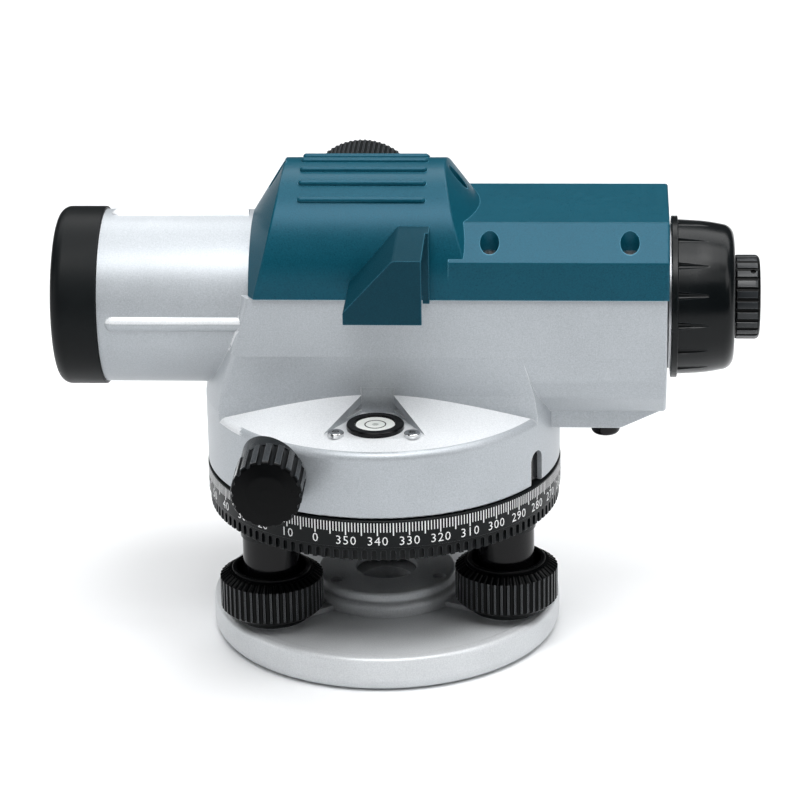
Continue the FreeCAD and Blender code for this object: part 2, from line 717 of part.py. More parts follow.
def slant_frame():
    """Start and end of the hood's slanting back, and the unit normal into the hood."""
    start = V(HOOD_X0, 0, HOOD_LIP_Z)
    end = V(HOOD_TOP_X, 0, HOOD_Z1)
    along = (end - start).normalize()
    return start, end, V(along.z, 0, -along.x)


def make_mirror_hood():
    outside_points = [
        (HOOD_X0, HOOD_Z0), (HOOD_X0, HOOD_LIP_Z, 1.2), (HOOD_TOP_X, HOOD_Z1, 1.5), (HOOD_X1, HOOD_Z1),
        (HOOD_X1, HOOD_Z0),
    ]
    start, end, normal = slant_frame()
    lip_x = HOOD_X0 + HOOD_WALL
    lean = (end.x - start.x) / (end.z - start.z)
    low = start + normal * HOOD_WALL
    lip_z = low.z + (lip_x - low.x) / lean
    top_z = HOOD_Z1 - HOOD_WALL
    top_x = low.x + (top_z - low.z) * lean
    inside_points = [
        (lip_x, HOOD_Z0 - 5), (lip_x, lip_z), (top_x, top_z), (HOOD_X1 + 5, top_z),
        (HOOD_X1 + 5, HOOD_Z0 - 5),
    ]
    outside = extruded_y(outside_points, HOOD_Y, -20)
    flange = box(HOOD_X1 - 1, HOOD_X1 + 1.0, -COVER_Y - 1.6, -20, SPLIT_Z - 0.5, HOOD_Z1)
    outside = outside.fuse(flange)
    inside = extruded_y(inside_points, HOOD_Y + HOOD_WALL, -COVER_Y - HOOD_WALL)
    return outside.cut([inside, arch_solid(ARCH_R + 0.02, -30, 30, 100)])


def make_bubble_mirror():
    start, end, normal = slant_frame()
    lean = (end - start).normalize()
    a = start + lean * 1.6 + normal * HOOD_WALL
    b = end - lean * 1.2 + normal * HOOD_WALL
    c = b + normal * 1.0
    d = a + normal * 1.0
    points = [(p.x, p.z) for p in (a, b, c, d)]
    return extruded_y(points, HOOD_Y + HOOD_WALL + 0.3, -COVER_Y - HOOD_WALL - 0.3)


def make_objective_ring():
    x0 = -99.1
    profile = [
        (TUBE_INNER_R, TUBE_X0), (27.45, TUBE_X0, 0.4), (27.45, x0, 3.6), (22.6, x0, 0.5), (20.6, -92.0),
        (TUBE_INNER_R, -92.0),
    ]
    return turned(profile, V(0, 0, TUBE_Z), ALONG_X)


def make_objective_cell():
    profile = [
        (20.0, -92.0), (TUBE_INNER_R, -92.0), (TUBE_INNER_R, -72.0), (18.0, -72.0), (18.0, -80.0),
        (20.0, -80.0),
    ]
    return turned(profile, V(0, 0, TUBE_Z), ALONG_X)


def make_objective_lens():
    disc = rod(20.0, (-90.0, 0, TUBE_Z), ALONG_X, 10.0)
    return disc.common(Part.makeSphere(70.0, V(-90.0 + 1.0 + 69.0, 0, TUBE_Z)))


def make_bubble_cup():
    profile = [
        (0, 77.2), (7.5, 77.2), (7.5, SEAT_Z), (BUBBLE_RING_R, SEAT_Z), (BUBBLE_RING_R, SEAT_Z + 1.6, 0.5),
        (6.1, SEAT_Z + 1.6, 0.3), (6.1, 78.2), (0, 78.2),
    ]
    return turned(profile, V(0, BUBBLE_Y, 0))


def make_bubble_vial():
    disc = rod(6.1, (0, BUBBLE_Y, 78.2), ALONG_Z, 3.5)
    return disc.common(Part.makeSphere(30.0, V(0, BUBBLE_Y, 81.6 - 30.0)))


def make_bubble_screws():
    screws = []
    for angle in BUBBLE_SCREW_ANGLES:
        p = polar(BUBBLE_SCREW_CIRCLE, angle)
        screws.append(pan_screw(2.5, 1.4, 1.0, 3.4, V(p.x, p.y + BUBBLE_Y, SEAT_Z)))
    return screws


def make_compensator_frame():
    side = box(20, 60, 17, 19, 90, 131)
    ears = [box(x, x + 6, 18, 25.5, 101, 105) for x in (24, 50)]
    front = box(20, 22, -19, 19, 90, 124).cut(rod(13, (10, 0, TUBE_Z), ALONG_X, 20))
    floor = box(20, 60, -19, 19, 88, 90)
    bar = box(16, 46, -19, 19, 129, 131)
    frame = fuse(side, mirrored(side), *ears, *[mirrored(ear) for ear in ears], front, floor, bar)
    return frame.cut(rod(1.5, (REAR_SCREW_X, 0, 120), ALONG_Z, 20))


def make_compensator_wires():
    return [rod(0.2, (x, y, 119.4), ALONG_Z, 9.6) for x in (37, 45) for y in (-9, 9)]


def make_fixed_prism():
    return extruded_y([(26, 102), (34, 102), (34, 110), (26, 118)], -8, 8)


def make_damper_magnet():
    block = box(36, 46, -8, 8, 90, 96)
    return block.cut(box(35, 47, -3, 3, 91.5, 100))


def make_pendulum_arm():
    top = box(36, 46, -10, 10, 117.5, 119.1)
    side = box(37, 45, 9, 10, 101, 117.5)
    low = box(37, 45, -10, 10, 99.5, 101)
    vane = box(37, 45, -1.2, 1.2, 93, 99.5)
    return fuse(top, side, mirrored(side), low, vane)


def make_pendulum_prism():
    return extruded_y([(37.5, 101), (44.5, 101), (44.5, 115), (37.5, 108)], -8, 8)


def make_guide_ring():
    return ring(TUBE_INNER_R, 15.5, (-42, 0, TUBE_Z), ALONG_X, 2.0)


def make_guide_rods():
    return [rod(1.5, (-40, y, ROD_Z), ALONG_X, 60) for y in (-ROD_Y, ROD_Y)]


def make_focus_lens_cell():
    length = CARRIAGE_X1 - CARRIAGE_X0
    cell = rod(15.0, (CARRIAGE_X0, 0, TUBE_Z), ALONG_X, length)
    ears = box(CARRIAGE_X0, CARRIAGE_X1, -ROD_Y - 3, ROD_Y + 3, ROD_Z - 3, ROD_Z + 3)
    bores = [rod(1.57, (-60, y, ROD_Z), ALONG_X, 60) for y in (-ROD_Y, ROD_Y)]
    seat = box(CARRIAGE_X0, CARRIAGE_X1, 7, 12, 115, 120.8)
    rack_seat = box(CARRIAGE_X0 - 1, CARRIAGE_X1 + 1, 6.9, 12.1, 120.8, 126)
    return fuse(cell, ears, seat).cut(bores + [rod(12.0, (-60, 0, TUBE_Z), ALONG_X, 60), rack_seat])


def make_focus_lens():
    return rod(12.0, (-24.5, 0, TUBE_Z), ALONG_X, 4.0)


def make_focus_rack():
    rack = box(CARRIAGE_X0, 4, 7, 12, 120.8, 123.95)
    teeth = [box(x, x + 0.8, 6, 13, 123.0, 125) for x in range(-24, 4, 2)]
    return rack.cut(teeth)


def make_focus_pinion():
    pinion = ring(PINION_R, 1.8, (FOCUS_X, 7, FOCUS_Z), ALONG_Y, 5.0)
    gap = rod(0.5, (FOCUS_X + PINION_R, 6, FOCUS_Z), ALONG_Y, 7)
    return pinion.cut(repeated(gap, 10, V(FOCUS_X, 0, FOCUS_Z), ALONG_Y))


def make_focus_shaft():
    profile = [(0, 6.5), (1.8, 6.5), (1.8, 12.0), (3.0, 12.5), (3.0, 42.0), (0, 42.0)]
    return turned(profile, V(FOCUS_X, 0, FOCUS_Z), ALONG_Y)


def make_focus_bush():
    profile = [(3.06, 22), (6.0, 22), (6.0, 29.1), (8.0, 29.1), (8.0, 29.7), (3.06, 29.7)]
    return turned(profile, V(FOCUS_X, 0, FOCUS_Z), ALONG_Y)


def make_focus_knob():
    centre = V(FOCUS_X, 0, FOCUS_Z)
    profile = [
        (3.0, 30.0), (FOCUS_KNOB_R - 1, 30.0), (FOCUS_KNOB_R, 31.0), (FOCUS_KNOB_R, 44.6),
        (FOCUS_KNOB_R - 1.4, 46.0), (13.0, 46.0, 0.5), (12.0, 45.0, 0.5), (0, 45.0), (0, 42.0), (3.0, 42.0),
    ]
    knob = turned(profile, centre, ALONG_Y)
    groove = rod(0.5, (FOCUS_X + FOCUS_KNOB_R + 0.1, 29, FOCUS_Z), ALONG_Y, 18)
    return knob.cut(repeated(groove, 72, centre, ALONG_Y))


def make_eyepiece_barrel():
    profile = [
        (BARREL_INNER_R, 72), (BARREL_R, 72), (BARREL_R, 88.0), (22.0, 88.0), (22.0, 88.7), (BARREL_R, 88.7),
        (BARREL_R, 107.8), (BARREL_INNER_R, 107.8),
    ]
    barrel = turned(profile, V(0, 0, TUBE_Z), ALONG_X)
    return barrel.cut(rod(1.2, (92.5, 0, TUBE_Z), ALONG_Z, 20))


def make_reticle_cell():
    cell = ring(BARREL_INNER_R, 6.0, (90, 0, TUBE_Z), ALONG_X, 5.0)
    return cell.cut(rod(1.2, (92.5, 0, TUBE_Z + 7.0), ALONG_Z, 5))


def make_reticle_glass():
    return rod(6.0, (92, 0, TUBE_Z), ALONG_X, 1.0)


def make_reticle_screw():
    return pan_screw(2.2, 2.4, 1.2, 5.0, V(92.5, 0, TUBE_Z + 12.0))


def make_eyepiece_cover():
    profile = [
        (BARREL_R + 0.4, BELL_X1 - 2.0), (BARREL_R + 0.4, BELL_X1, 0.4), (BELL_R1, BELL_X1, 4.0),
        (BELL_R0 - 0.5, BELL_X0 + 11.0, 50.0), (BELL_R0, BELL_X0 + 2.0),
        (BELL_FLANGE_R, BELL_X0 + 2.0, 0.3), (BELL_FLANGE_R, BELL_X0, 0.3),
        (BELL_R0 - 1.4, BELL_X0), (BELL_R1 - 2.6, BELL_X1 - 2.0, 2.0),
    ]
    bell = turned(profile, V(0, 0, TUBE_Z), ALONG_X)
    start = V(BELL_X0 + 2.0, 0, TUBE_Z + BELL_R0 + 0.3)
    end = V(BELL_X0 + 12.0, 0, TUBE_Z + BELL_R0 - 0.3)
    recess = Part.makeCone(1.25, 0.4, (end - start).Length, start, end - start)
    recess = recess.fuse(Part.makeSphere(0.4, end))
    return bell.cut(repeated(recess, 16, V(0, 0, TUBE_Z), ALONG_X, 2.5))


def make_eyepiece_ring():
    profile = [
        (7.0, 98.0), (BARREL_INNER_R - 0.06, 98.0), (BARREL_INNER_R - 0.06, EYE_X0), (EYE_R, EYE_X0, 0.5),
        (EYE_R, EYE_X1, 1.6), (9.0, EYE_X1, 0.5), (7.0, 113.6),
    ]
    body = turned(profile, V(0, 0, TUBE_Z), ALONG_X)
    groove = rod(0.8, (EYE_X0 - 1, 0, TUBE_Z + EYE_R + 0.35), ALONG_X, 9)
    dot = rod(0.9, (EYE_X1 - 2.3, 0, TUBE_Z + EYE_R - 1.0), ALONG_Z, 3.0)
    dot.rotate(V(0, 0, TUBE_Z), ALONG_X, EYE_MARK_ANGLE)
    return body.cut(repeated(groove, 24, V(0, 0, TUBE_Z), ALONG_X) + [dot])


def make_eyepiece_lens():
    disc = rod(7.0, (108.0, 0, TUBE_Z), ALONG_X, 5.0)
    return disc.common(Part.makeSphere(20.0, V(113.0 - 20.0, 0, TUBE_Z)))


def make_lock_button():
    profile = [
        (0, 64.2), (BUTTON_R, 64.2, 1.6), (BUTTON_R, 74.8), (5.3, 74.8), (5.3, 76.2), (0, 76.2),
    ]
    return turned(profile, V(BUTTON_X, 0, 0))


def make_all():
    os.makedirs("parts", exist_ok=True)
    save("base_plate", make_base_plate())
    save("spring_plate", make_spring_plate())
    save("spring_plate_screws", *make_spring_plate_screws())
    save("foot_pads", *make_foot_pads())
    for number, foot in enumerate(feet(), start=1):
        save("footscrew_screw_" + str(number), make_footscrew_screw(foot))
        save("footscrew_knob_" + str(number), make_footscrew_knob(foot))
    save("tribrach_body", make_tribrach_body())
    save("footscrew_sleeves", *make_footscrew_sleeves())
    save("centre_spindle", make_centre_spindle())
    save("spindle_washer", make_spindle_washer())
    save("graduated_circle", make_graduated_circle())
    save("main_housing", make_main_housing())
    save("circle_index", make_circle_index())
    save("housing_floor", make_housing_floor())
    save("floor_screws", *make_floor_screws())
    save("bearing_bush", make_bearing_bush())
    save("worm_wheel", make_worm_wheel())
    save("tangent_shaft", make_tangent_shaft())
    save("tangent_bushes", *make_tangent_bushes())
    save("tangent_knob_right", make_tangent_knob())
    save("tangent_knob_left", mirrored(make_tangent_knob()))
    save("top_cover", make_top_cover())
    save("cover_screws", *make_cover_screws())
    save("cover_gasket", make_cover_gasket())
    save("mirror_hood", make_mirror_hood())
    save("bubble_mirror", make_bubble_mirror())
    save("objective_ring", make_objective_ring())
    save("objective_cell", make_objective_cell())
    save("objective_lens", make_objective_lens())
    save("bubble_cup", make_bubble_cup())
    save("bubble_vial", make_bubble_vial())
    save("bubble_screws", *make_bubble_screws())
    save("compensator_frame", make_compensator_frame())
    save("compensator_wires", *make_compensator_wires())
    save("fixed_prism", make_fixed_prism())
    save("damper_magnet", make_damper_magnet())
    save("pendulum_arm", make_pendulum_arm())
    save("pendulum_prism", make_pendulum_prism())
    save("guide_ring", make_guide_ring())
    save("guide_rods", *make_guide_rods())
    save("focus_lens_cell", make_focus_lens_cell())
    save("focus_lens", make_focus_lens())
    save("focus_rack", make_focus_rack())
    save("focus_pinion", make_focus_pinion())
    save("focus_shaft", make_focus_shaft())
    save("focus_bush", make_focus_bush())
    save("focus_knob", make_focus_knob())
    save("eyepiece_barrel", make_eyepiece_barrel())
    save("reticle_cell", make_reticle_cell())
    save("reticle_glass", make_reticle_glass())
    save("reticle_screw", make_reticle_screw())
    save("eyepiece_cover", make_eyepiece_cover())
    save("eyepiece_ring", make_eyepiece_ring())
    save("eyepiece_lens", make_eyepiece_lens())
    save("lock_button", make_lock_button())


make_all()
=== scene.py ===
import json
import math

import bpy
from mathutils import Matrix, Vector


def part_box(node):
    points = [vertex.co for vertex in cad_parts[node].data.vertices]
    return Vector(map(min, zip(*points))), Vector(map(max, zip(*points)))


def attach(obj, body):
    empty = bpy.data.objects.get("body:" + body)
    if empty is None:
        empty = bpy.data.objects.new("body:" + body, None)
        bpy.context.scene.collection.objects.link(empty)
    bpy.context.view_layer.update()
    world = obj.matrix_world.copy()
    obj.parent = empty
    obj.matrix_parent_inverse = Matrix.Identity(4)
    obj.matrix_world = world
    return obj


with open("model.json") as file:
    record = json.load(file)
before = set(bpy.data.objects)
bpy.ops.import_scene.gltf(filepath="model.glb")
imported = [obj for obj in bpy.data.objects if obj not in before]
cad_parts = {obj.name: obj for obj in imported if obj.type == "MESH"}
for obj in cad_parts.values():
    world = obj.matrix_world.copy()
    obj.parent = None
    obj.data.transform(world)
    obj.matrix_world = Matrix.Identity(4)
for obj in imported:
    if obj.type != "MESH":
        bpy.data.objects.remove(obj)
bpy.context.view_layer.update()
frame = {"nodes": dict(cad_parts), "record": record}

MM = 0.001
X, Y, Z = range(3)
NODES = frame["nodes"]
MATERIALS = {}


def node_box(name):
    """The low and high corners of a CAD node, millimetres."""
    low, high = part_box(name)
    return Vector(low) / MM, Vector(high) / MM


def add_object(name, data):
    thing = bpy.data.objects.new(name, data)
    bpy.context.scene.collection.objects.link(thing)
    return thing


# ---------------------------------------------------------------- camera

# Degrees and metres; an azimuth of 0 looks from the instrument's side, and 90 from its eyepiece
CAMERA_AZIMUTH = 3.6
CAMERA_ELEVATION = 21.5
CAMERA_ROLL = -1.03
CAMERA_DISTANCE = 1.06
CAMERA_TARGET = Vector((0.00518, 0.0, 0.0745))
CAMERA_LENS = 153.0
CAMERA_SENSOR = 36.0
CAMERA_CLIP = (0.05, 20.0)


def direction(azimuth, elevation):
    """Unit vector from the object towards a viewer."""
    a = math.radians(azimuth)
    e = math.radians(elevation)
    return Vector((math.sin(a) * math.cos(e), -math.cos(a) * math.cos(e), math.sin(e)))


def camera_axes():
    """The camera's right, up and backward directions, with its roll."""
    turn = math.radians(CAMERA_AZIMUTH)
    roll = math.radians(CAMERA_ROLL)
    back = direction(CAMERA_AZIMUTH, CAMERA_ELEVATION)
    level = Vector((math.cos(turn), math.sin(turn), 0))
    upright = back.cross(level)
    right = level * math.cos(roll) + upright * math.sin(roll)
    up = upright * math.cos(roll) - level * math.sin(roll)
    return right, up, back


def make_camera():
    data = bpy.data.cameras.new("camera")
    data.lens = CAMERA_LENS
    data.sensor_width = CAMERA_SENSOR
    data.clip_start, data.clip_end = CAMERA_CLIP
    camera = add_object("camera", data)
    right, up, back = camera_axes()
    turned = Matrix((right, up, back)).transposed().to_4x4()
    camera.matrix_world = Matrix.Translation(CAMERA_TARGET + back * CAMERA_DISTANCE) @ turned
    bpy.context.scene.camera = camera


# ---------------------------------------------------------------- lights and floor

# Metres, degrees and watts
LIGHT_DISTANCE = 1.0
# Softboxes round the object: name, azimuth, elevation, width, height, power
SOFTBOXES = (
    ("overhead", 0, 89, 0.7, 0.7, 4.0),
    ("key", -6, 63, 0.5, 0.35, 3.6),
    ("top_right", 20, 70, 0.6, 0.4, 2.2),
    ("high_right", 90, 65, 0.5, 0.5, 3.0),
    ("front_left", -30, 50, 0.5, 0.4, 0.8),
    ("front_right", 20, 52, 0.5, 0.4, 1.1),
    ("low_front", -15, 25, 0.5, 0.3, 0.3),
    ("side_right", 60, 38, 0.4, 0.4, 1.5),
    ("side_left", -75, 10, 0.3, 0.6, 1.4),
    ("low_right", 75, 12, 0.3, 0.6, 0.7),
)
# A long light behind the object, which shines nearly straight down on the floor
BACKDROP_LIGHT = ("backdrop", 180, 52, 2.8, 0.8, 22.0)
BACKDROP_DISTANCE = 1.5
BACKDROP_UP = Vector((0, 0.1, 1))
WORLD_COLOUR = (0.94, 0.96, 0.98, 1)
WORLD_STRENGTH = 0.04
FLOOR_HALF = 3.0
FLOOR_COLOUR = (0.86, 0.87, 0.88, 1)
FLOOR_ROUGHNESS = 0.85


def area_light(name, azimuth, elevation, width, height, power, distance):
    """A rectangular light that faces the object."""
    data = bpy.data.lights.new(name, "AREA")
    data.shape = "RECTANGLE"
    data.size = width
    data.size_y = height
    data.energy = power
    light = add_object(name, data)
    towards = direction(azimuth, elevation)
    light.rotation_mode = "QUATERNION"
    light.location = CAMERA_TARGET + towards * distance
    light.rotation_quaternion = towards.to_track_quat("Z", "Y")
    return light


def make_lights():
    for softbox in SOFTBOXES:
        area_light(*softbox, LIGHT_DISTANCE)
    backdrop = area_light(*BACKDROP_LIGHT, BACKDROP_DISTANCE)
    backdrop.rotation_quaternion = BACKDROP_UP.to_track_quat("Z", "Y")


def make_world():
    world = bpy.data.worlds.new("studio")
    world.use_nodes = True
    background = world.node_tree.nodes["Background"]
    background.inputs["Color"].default_value = WORLD_COLOUR
    background.inputs["Strength"].default_value = WORLD_STRENGTH
    bpy.context.scene.world = world
    bpy.context.scene.view_settings.view_transform = "Standard"


def make_floor():
    mesh = bpy.data.meshes.new("floor")
    corners = [(-1, -1), (1, -1), (1, 1), (-1, 1)]
    mesh.from_pydata([(x * FLOOR_HALF, y * FLOOR_HALF, 0) for x, y in corners], [], [(0, 1, 2, 3)])
    shader = start_material("floor")[1]
    shader.inputs["Base Color"].default_value = FLOOR_COLOUR
    shader.inputs["Roughness"].default_value = FLOOR_ROUGHNESS
    mesh.materials.append(MATERIALS["floor"])
    add_object("floor", mesh)


# ---------------------------------------------------------------- shader building blocks

# Noise hardly leaves this range, so it is stretched to the full one
NOISE_LOW = 0.3
NOISE_HIGH = 0.7
# Cosine between a face's normal and the rounded one: where an edge starts, and where it is full
EDGE_START = 0.99
EDGE_FULL = 0.8
EDGE_SAMPLES = 4


def start_material(name):
    """A new material, kept under its name: its node tree and its main shader."""
    material = bpy.data.materials.new(name)
    material.use_nodes = True
    MATERIALS[name] = material
    tree = material.node_tree
    return tree, tree.nodes["Principled BSDF"]


def mix_colour(tree, factor, first, second):
    """A colour between two, by a factor socket. Each is a constant colour or a socket."""
    node = tree.nodes.new("ShaderNodeMix")
    node.data_type = "RGBA"
    tree.links.new(factor, node.inputs["Factor"])
    for colour, entry in ((first, node.inputs["A"]), (second, node.inputs["B"])):
        if isinstance(colour, tuple):
            entry.default_value = (*colour, 1)
        else:
            tree.links.new(colour, entry)
    return node.outputs["Result"]


def remap(tree, value, low, high, out_low, out_high):
    node = tree.nodes.new("ShaderNodeMapRange")
    node.inputs["From Min"].default_value = low
    node.inputs["From Max"].default_value = high
    node.inputs["To Min"].default_value = out_low
    node.inputs["To Max"].default_value = out_high
    tree.links.new(value, node.inputs["Value"])
    return node.outputs["Result"]


def spread(tree, value, out_low, out_high):
    """Noise stretched from the range that it fills to another."""
    return remap(tree, value, NOISE_LOW, NOISE_HIGH, out_low, out_high)


def noise(tree, scale, detail, rough=0.5, stretch=(1, 1, 1)):
    """Noise over the object's own coordinates; scale is in cycles a metre."""
    coords = tree.nodes.new("ShaderNodeTexCoord")
    mapping = tree.nodes.new("ShaderNodeMapping")
    mapping.inputs["Scale"].default_value = stretch
    texture = tree.nodes.new("ShaderNodeTexNoise")
    texture.inputs["Scale"].default_value = scale
    texture.inputs["Detail"].default_value = detail
    texture.inputs["Roughness"].default_value = rough
    tree.links.new(coords.outputs["Object"], mapping.inputs["Vector"])
    tree.links.new(mapping.outputs["Vector"], texture.inputs["Vector"])
    return texture.outputs["Fac"]


def bump(tree, height, depth, strength):
    """A normal from a height socket; depth is in metres."""
    node = tree.nodes.new("ShaderNodeBump")
    node.inputs["Distance"].default_value = depth
    node.inputs["Strength"].default_value = strength
    tree.links.new(height, node.inputs["Height"])
    return node.outputs["Normal"]


def edge_mask(tree, radius):
    """1 on edges, 0 on flat faces: how far the rounded normal leaves the face's own."""
    rounded = tree.nodes.new("ShaderNodeBevel")
    rounded.samples = EDGE_SAMPLES
    rounded.inputs["Radius"].default_value = radius
    geometry = tree.nodes.new("ShaderNodeNewGeometry")
    dot = tree.nodes.new("ShaderNodeVectorMath")
    dot.operation = "DOT_PRODUCT"
    tree.links.new(rounded.outputs["Normal"], dot.inputs[0])
    tree.links.new(geometry.outputs["Normal"], dot.inputs[1])
    return remap(tree, dot.outputs["Value"], EDGE_START, EDGE_FULL, 0.0, 1.0)


def scaled(colour, factor):
    """A colour made lighter or darker, but no lighter than white."""
    return tuple(min(1.0, c * factor) for c in colour)


# ---------------------------------------------------------------- kinds of finish

# Noise scales in cycles a metre, edge radii and depths in metres
GRAIN_DETAIL = 3.0
GRAIN_ROUGH = 0.6
BROAD_DETAIL = 3.0
PAINT_MOTTLING = 45.0
PAINT_EDGE = 0.0004
PAINT_BUMP = 0.6
PLASTIC_MOTTLING = 60.0
PLASTIC_EDGE = 0.00035
PLASTIC_BUMP = 0.5
TOOL_MARKS = 900.0
TOOL_MARK_DETAIL = 4.0
TOOL_MARK_DEPTH = 0.00002
DUST = 300.0
DUST_DETAIL = 4.0
GLASS_IOR = 1.5
PRINT_PATCHES = 700.0


def painted(name, dark, light, edge, metallic, rough, grain, depth, specular=0.5, tint=(1, 1, 1)):
    """Fine-textured satin paint: a grain of small bumps, faint mottling and lighter edges, partly paint
    wear and partly painted highlight.
    """
    tree, shader = start_material(name)
    fine = noise(tree, grain, GRAIN_DETAIL, GRAIN_ROUGH)
    broad = noise(tree, PAINT_MOTTLING, BROAD_DETAIL)
    mottled = tree.nodes.new("ShaderNodeHueSaturation")
    tree.links.new(spread(tree, broad, 0.96, 1.04), mottled.inputs["Value"])
    tree.links.new(mix_colour(tree, spread(tree, fine, 0.0, 1.0), dark, light), mottled.inputs["Color"])
    # Lighter edges: partly paint wear, partly painted highlight.
    worn_and_lit = mix_colour(tree, edge_mask(tree, PAINT_EDGE), mottled.outputs["Color"], edge)
    tree.links.new(worn_and_lit, shader.inputs["Base Color"])
    shader.inputs["Metallic"].default_value = metallic
    shader.inputs["Specular IOR Level"].default_value = specular
    shader.inputs["Specular Tint"].default_value = (*tint, 1)
    tree.links.new(spread(tree, fine, rough - 0.06, rough + 0.08), shader.inputs["Roughness"])
    tree.links.new(bump(tree, fine, depth, PAINT_BUMP), shader.inputs["Normal"])


def plastic(name, colour, rough, grain, depth, edge=None, specular=0.12):
    """Moulded plastic with a fine spark-eroded texture and, where given, lighter edges: partly wear from
    rubbing, partly painted highlight.
    """
    tree, shader = start_material(name)
    fine = noise(tree, grain, GRAIN_DETAIL, GRAIN_ROUGH)
    broad = noise(tree, PLASTIC_MOTTLING, BROAD_DETAIL)
    result = mix_colour(tree, remap(tree, broad, 0.35, 0.75, 0.0, 1.0), colour, scaled(colour, 1.5))
    # Lighter edges, where given: partly wear from rubbing, partly painted highlight.
    if edge is not None:
        result = mix_colour(tree, edge_mask(tree, PLASTIC_EDGE), result, edge)
    tree.links.new(result, shader.inputs["Base Color"])
    shader.inputs["Specular IOR Level"].default_value = specular
    tree.links.new(spread(tree, broad, rough - 0.05, rough + 0.07), shader.inputs["Roughness"])
    tree.links.new(bump(tree, fine, depth, PLASTIC_BUMP), shader.inputs["Normal"])


def metal(name, colour, rough, brush=(1, 1, 1)):
    """Machined metal with fine tool marks along one direction."""
    tree, shader = start_material(name)
    marks = noise(tree, TOOL_MARKS, TOOL_MARK_DETAIL, 0.7, brush)
    shade = mix_colour(tree, spread(tree, marks, 0.0, 1.0), scaled(colour, 0.8), colour)
    tree.links.new(shade, shader.inputs["Base Color"])
    shader.inputs["Metallic"].default_value = 1.0
    tree.links.new(spread(tree, marks, rough - 0.05, rough + 0.1), shader.inputs["Roughness"])
    tree.links.new(bump(tree, marks, TOOL_MARK_DEPTH, 0.4), shader.inputs["Normal"])


def glass(name, colour, coat):
    """Coated optical glass: smooth, slightly tinted, with faint dust that roughens it."""
    tree, shader = start_material(name)
    dust = noise(tree, DUST, DUST_DETAIL)
    tree.links.new(remap(tree, dust, 0.5, 0.8, 0.02, 0.08), shader.inputs["Roughness"])
    tree.links.new(mix_colour(tree, dust, colour, scaled(colour, 0.92)), shader.inputs["Base Color"])
    shader.inputs["Transmission Weight"].default_value = 0.95
    shader.inputs["IOR"].default_value = GLASS_IOR
    shader.inputs["Coat Weight"].default_value = coat
    shader.inputs["Coat Roughness"].default_value = 0.03


def printed(name, dark, light):
    """Printed ink, slightly uneven."""
    tree, shader = start_material(name)
    ink = mix_colour(tree, noise(tree, PRINT_PATCHES, BROAD_DETAIL), dark, light)
    tree.links.new(ink, shader.inputs["Base Color"])
    shader.inputs["Roughness"].default_value = 0.5


# ---------------------------------------------------------------- the object's finishes, with their painted highlight and painted shade

BLACK = (0.003, 0.004, 0.0045)
# Lighter edges for the black plastics: partly wear from rubbing, partly painted highlight.
RUBBED_AND_LIT_EDGE = (0.03, 0.032, 0.035)
# The blue paint's highlights are blue too
BLUE_SHEEN = (0.45, 0.75, 1.0)


def make_paints():
    """The silver and blue paints. A lighter copy of the silver is painted highlight, for faces that look up
    towards the lamps above.
    """
    painted("silver_paint", dark=(0.335, 0.36, 0.383), light=(0.455, 0.483, 0.511), edge=(0.70, 0.72, 0.73),
            metallic=0.25, rough=0.36, grain=2600.0, depth=0.00006)
    painted("silver_bright", dark=(0.56, 0.58, 0.60), light=(0.70, 0.72, 0.735), edge=(0.80, 0.81, 0.82),
            metallic=0.12, rough=0.34, grain=2600.0, depth=0.00004)
    # Painted highlight: a lighter copy of the silver paint for faces that look up.
    painted("silver_painted_highlight", dark=(0.62, 0.64, 0.66), light=(0.78, 0.80, 0.82), edge=(0.90, 0.90, 0.90),
            metallic=0.10, rough=0.34, grain=2600.0, depth=0.00004)
    painted("blue_paint", dark=(0.001, 0.043, 0.067), light=(0.003, 0.069, 0.104), edge=(0.08, 0.27, 0.37),
            metallic=0.0, rough=0.33, grain=2300.0, depth=0.00005, specular=0.30, tint=BLUE_SHEEN)
    painted("blue_dark", dark=(0.001, 0.022, 0.035), light=(0.002, 0.036, 0.053), edge=(0.04, 0.16, 0.23),
            metallic=0.0, rough=0.36, grain=2300.0, depth=0.00005, specular=0.24, tint=BLUE_SHEEN)


def make_blacks():
    """The black plastics, the rubber, and the knobs' two blacks: a darker one, painted shade in the
    grooves, and a lighter one, painted highlight on the rib tops.
    """
    plastic("black_satin", BLACK, rough=0.22, grain=2500.0, depth=0.00002, edge=RUBBED_AND_LIT_EDGE, specular=0.17)
    plastic("black_plastic", BLACK, rough=0.42, grain=2500.0, depth=0.00004, edge=RUBBED_AND_LIT_EDGE)
    plastic("black_gloss", (0.002, 0.002, 0.0025), rough=0.12, grain=400.0, depth=0.000004, specular=0.2)
    # Painted shade: a darker black for the ribbed knobs, seen in their grooves.
    plastic("knob_black_painted_shade", (0.001, 0.0012, 0.0014), rough=0.30, grain=2500.0, depth=0.00002, specular=0.08)
    # Painted highlight: a lighter, glossier black with lighter edges for the knobs' rib tops.
    plastic("rib_black_painted_highlight", (0.016, 0.018, 0.020), rough=0.20, grain=2500.0, depth=0.00002,
            edge=(0.10, 0.105, 0.11), specular=0.26)
    # The circle's lighter edges, on its knurl, are painted highlight.
    plastic("circle_black", (0.004, 0.005, 0.0055), rough=0.30, grain=2500.0, depth=0.00002,
            edge=(0.05, 0.053, 0.056))
    plastic("rubber", (0.014, 0.014, 0.014), rough=0.75, grain=1800.0, depth=0.00004)


def make_metals():
    metal("steel", (0.56, 0.57, 0.58), rough=0.28, brush=(1, 1, 6))
    metal("chrome", (0.72, 0.73, 0.74), rough=0.14)
    metal("aluminium", (0.62, 0.63, 0.65), rough=0.36)
    metal("brass", (0.74, 0.52, 0.20), rough=0.26)
    metal("mirror", (0.86, 0.88, 0.89), rough=0.05)
    metal("magnet", (0.16, 0.16, 0.17), rough=0.45)


